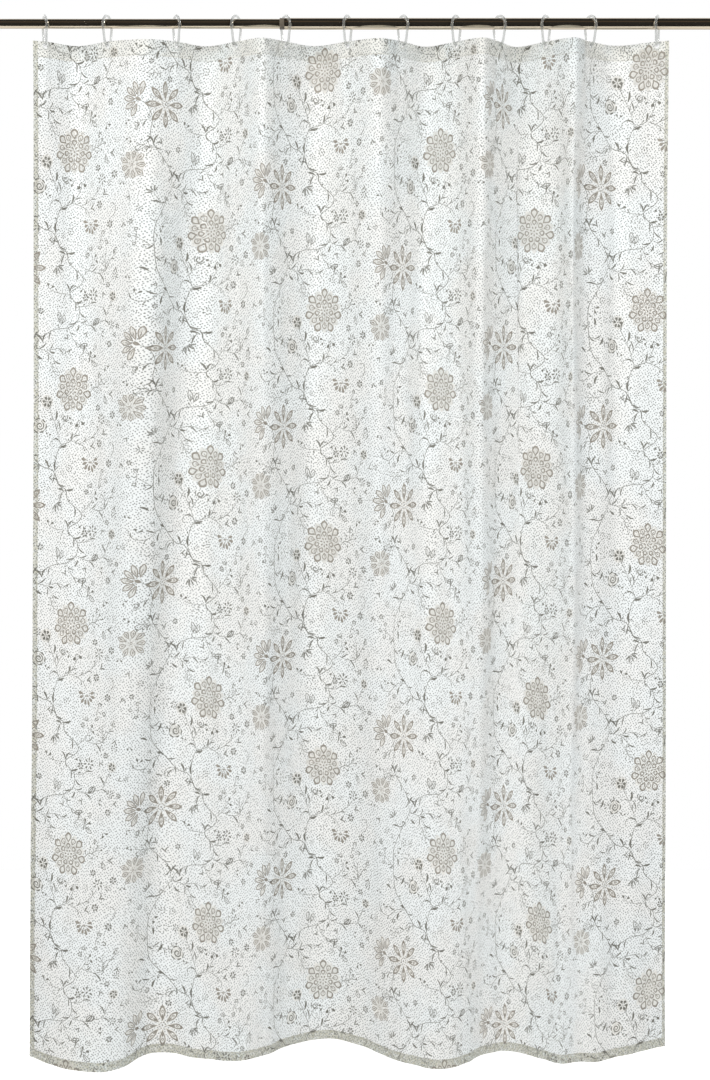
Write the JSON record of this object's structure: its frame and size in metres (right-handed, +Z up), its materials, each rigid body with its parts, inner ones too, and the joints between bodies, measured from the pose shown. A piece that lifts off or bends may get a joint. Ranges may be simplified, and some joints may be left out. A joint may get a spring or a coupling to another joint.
{
  "type": "shower curtain",
  "caption": "Printed fabric shower curtain hanging in folds from clear snap rings on a telescopic tension rod.",
  "frame": {"origin": "centre of the left wall pad's flat face, on the rod's axis", "axes": "+X along the rod to the right, +Y away from the room, +Z up"},
  "size_m": [1.55, 0.1568, 2.0492],
  "materials": {
    "bronze_steel": "polished dark bronze finish on steel tube",
    "brown_plastic": "satin brown moulding",
    "dark_rubber": "matt dark rubber",
    "clear_plastic": "clear, polished strand",
    "white_plastic": "clear to white, smooth",
    "printed_cloth": "thin woven polyester with a printed floral line pattern"
  },
  "bodies": {
    "inner_rod": {"inner_tube": "bronze_steel", "end_plug_left": "brown_plastic", "wall_pad_left": "dark_rubber", "lock_core": "brown_plastic"},
    "lock_sleeve": {"lock_sleeve": "brown_plastic"},
    "outer_rod": {"outer_tube": "bronze_steel", "tube_collar": "brown_plastic", "end_plug_right": "brown_plastic", "wall_pad_right": "dark_rubber"},
    "curtain": {"curtain_panel": "printed_cloth", "header_hem": "printed_cloth", "bottom_hem": "printed_cloth", "side_hem_left": "printed_cloth", "side_hem_right": "printed_cloth"},
    "ring_01": {"ring_01": "clear_plastic", "eyelet_01": "white_plastic"},
    "ring_arm_01": {"ring_arm_01": "clear_plastic"},
    "ring_02": {"ring_02": "clear_plastic", "eyelet_02": "white_plastic"},
    "ring_arm_02": {"ring_arm_02": "clear_plastic"},
    "ring_03": {"ring_03": "clear_plastic", "eyelet_03": "white_plastic"},
    "ring_arm_03": {"ring_arm_03": "clear_plastic"},
    "ring_04": {"ring_04": "clear_plastic", "eyelet_04": "white_plastic"},
    "ring_arm_04": {"ring_arm_04": "clear_plastic"},
    "ring_05": {"ring_05": "clear_plastic", "eyelet_05": "white_plastic"},
    "ring_arm_05": {"ring_arm_05": "clear_plastic"},
    "ring_06": {"ring_06": "clear_plastic", "eyelet_06": "white_plastic"},
    "ring_arm_06": {"ring_arm_06": "clear_plastic"},
    "ring_07": {"ring_07": "clear_plastic", "eyelet_07": "white_plastic"},
    "ring_arm_07": {"ring_arm_07": "clear_plastic"},
    "ring_08": {"ring_08": "clear_plastic", "eyelet_08": "white_plastic"},
    "ring_arm_08": {"ring_arm_08": "clear_plastic"},
    "ring_09": {"ring_09": "clear_plastic", "eyelet_09": "white_plastic"},
    "ring_arm_09": {"ring_arm_09": "clear_plastic"},
    "ring_10": {"ring_10": "clear_plastic", "eyelet_10": "white_plastic"},
    "ring_arm_10": {"ring_arm_10": "clear_plastic"},
    "ring_11": {"ring_11": "clear_plastic", "eyelet_11": "white_plastic"},
    "ring_arm_11": {"ring_arm_11": "clear_plastic"},
    "ring_12": {"ring_12": "clear_plastic", "eyelet_12": "white_plastic"},
    "ring_arm_12": {"ring_arm_12": "clear_plastic"}
  },
  "joints": [
    {"name": "rod_twist", "type": "hinge", "parent": "inner_rod", "child": "lock_sleeve", "pos_m": [0.9, 0, 0], "axis": [1, 0, 0], "range_deg": [0, 120]},
    {"name": "rod_extend", "type": "slide", "parent": "lock_sleeve", "child": "outer_rod", "axis": [1, 0, 0], "range_m": [-0.1, 0.15]},
    {"name": "curtain_swing", "type": "hinge", "parent": "inner_rod", "child": "curtain", "pos_m": [0, 0, 0], "axis": [1, 0, 0], "range_deg": [-15, 15]},
    {"name": "curtain_draw", "type": "slide", "parent": "curtain", "child": "ring_01", "axis": [1, 0, 0], "range_m": [0, 0.731], "deforming": ["curtain_panel", "header_hem", "bottom_hem", "side_hem_left", "side_hem_right"]},
    {"name": "ring_02_slide", "type": "slide", "parent": "curtain", "child": "ring_02", "axis": [1, 0, 0], "range_m": [0, 0.6604]},
    {"name": "ring_03_slide", "type": "slide", "parent": "curtain", "child": "ring_03", "axis": [1, 0, 0], "range_m": [0, 0.5824]},
    {"name": "ring_04_slide", "type": "slide", "parent": "curtain", "child": "ring_04", "axis": [1, 0, 0], "range_m": [0, 0.5146]},
    {"name": "ring_05_slide", "type": "slide", "parent": "curtain", "child": "ring_05", "axis": [1, 0, 0], "range_m": [0, 0.4588]},
    {"name": "ring_06_slide", "type": "slide", "parent": "curtain", "child": "ring_06", "axis": [1, 0, 0], "range_m": [0, 0.3886]},
    {"name": "ring_07_slide", "type": "slide", "parent": "curtain", "child": "ring_07", "axis": [1, 0, 0], "range_m": [0, 0.3262]},
    {"name": "ring_08_slide", "type": "slide", "parent": "curtain", "child": "ring_08", "axis": [1, 0, 0], "range_m": [0, 0.2656]},
    {"name": "ring_09_slide", "type": "slide", "parent": "curtain", "child": "ring_09", "axis": [1, 0, 0], "range_m": [0, 0.217]},
    {"name": "ring_10_slide", "type": "slide", "parent": "curtain", "child": "ring_10", "axis": [1, 0, 0], "range_m": [0, 0.1642]},
    {"name": "ring_11_slide", "type": "slide", "parent": "curtain", "child": "ring_11", "axis": [1, 0, 0], "range_m": [0, 0.1138]},
    {"name": "ring_12_slide", "type": "slide", "parent": "curtain", "child": "ring_12", "axis": [1, 0, 0], "range_m": [0, 0.0382]},
    {"name": "ring_01_open", "type": "hinge", "parent": "ring_01", "child": "ring_arm_01", "pos_m": [0.19446, 0.01847, -0.0031], "axis": [-0.9327, -0.3607, 0], "range_deg": [0, 40]},
    {"name": "ring_02_open", "type": "hinge", "parent": "ring_02", "child": "ring_arm_02", "pos_m": [0.32659, 0.01853, -0.0031], "axis": [-0.9357, 0.3528, 0], "range_deg": [0, 40]},
    {"name": "ring_03_open", "type": "hinge", "parent": "ring_03", "child": "ring_arm_03", "pos_m": [0.44108, 0.01787, -0.0031], "axis": [-0.9027, -0.4304, 0], "range_deg": [0, 40]},
    {"name": "ring_04_open", "type": "hinge", "parent": "ring_04", "child": "ring_arm_04", "pos_m": [0.57158, 0.01765, -0.0031], "axis": [-0.8912, 0.4536, 0], "range_deg": [0, 40]},
    {"name": "ring_05_open", "type": "hinge", "parent": "ring_05", "child": "ring_arm_05", "pos_m": [0.64557, 0.01707, -0.0031], "axis": [-0.8621, -0.5068, 0], "range_deg": [0, 40]},
    {"name": "ring_06_open", "type": "hinge", "parent": "ring_06", "child": "ring_arm_06", "pos_m": [0.78093, 0.01796, -0.0031], "axis": [-0.9072, 0.4208, 0], "range_deg": [0, 40]},
    {"name": "ring_07_open", "type": "hinge", "parent": "ring_07", "child": "ring_arm_07", "pos_m": [0.86634, 0.01693, -0.0031], "axis": [-0.8552, -0.5183, 0], "range_deg": [0, 40]},
    {"name": "ring_08_open", "type": "hinge", "parent": "ring_08", "child": "ring_arm_08", "pos_m": [0.98759, 0.0171, -0.0031], "axis": [-0.8635, 0.5043, 0], "range_deg": [0, 40]},
    {"name": "ring_09_open", "type": "hinge", "parent": "ring_09", "child": "ring_arm_09", "pos_m": [1.04707, 0.0161, -0.0031], "axis": [-0.8129, -0.5824, 0], "range_deg": [0, 40]},
    {"name": "ring_10_open", "type": "hinge", "parent": "ring_10", "child": "ring_arm_10", "pos_m": [1.15698, 0.01686, -0.0031], "axis": [-0.8517, 0.5241, 0], "range_deg": [0, 40]},
    {"name": "ring_11_open", "type": "hinge", "parent": "ring_11", "child": "ring_arm_11", "pos_m": [1.22066, 0.01712, -0.0031], "axis": [-0.8648, -0.502, 0], "range_deg": [0, 40]},
    {"name": "ring_12_open", "type": "hinge", "parent": "ring_12", "child": "ring_arm_12", "pos_m": [1.36293, 0.01876, -0.0031], "axis": [-0.9475, 0.3198, 0], "range_deg": [0, 40]}
  ],
  "couplings": [
    {"joint": "ring_02_slide", "follows": "curtain_draw", "ratio": 0.90315},
    {"joint": "ring_03_slide", "follows": "curtain_draw", "ratio": 0.79645},
    {"joint": "ring_04_slide", "follows": "curtain_draw", "ratio": 0.70371},
    {"joint": "ring_05_slide", "follows": "curtain_draw", "ratio": 0.62738},
    {"joint": "ring_06_slide", "follows": "curtain_draw", "ratio": 0.53135},
    {"joint": "ring_07_slide", "follows": "curtain_draw", "ratio": 0.44599},
    {"joint": "ring_08_slide", "follows": "curtain_draw", "ratio": 0.3631},
    {"joint": "ring_09_slide", "follows": "curtain_draw", "ratio": 0.29662},
    {"joint": "ring_10_slide", "follows": "curtain_draw", "ratio": 0.22439},
    {"joint": "ring_11_slide", "follows": "curtain_draw", "ratio": 0.15545},
    {"joint": "ring_12_slide", "follows": "curtain_draw", "ratio": 0.052035}
  ]
}
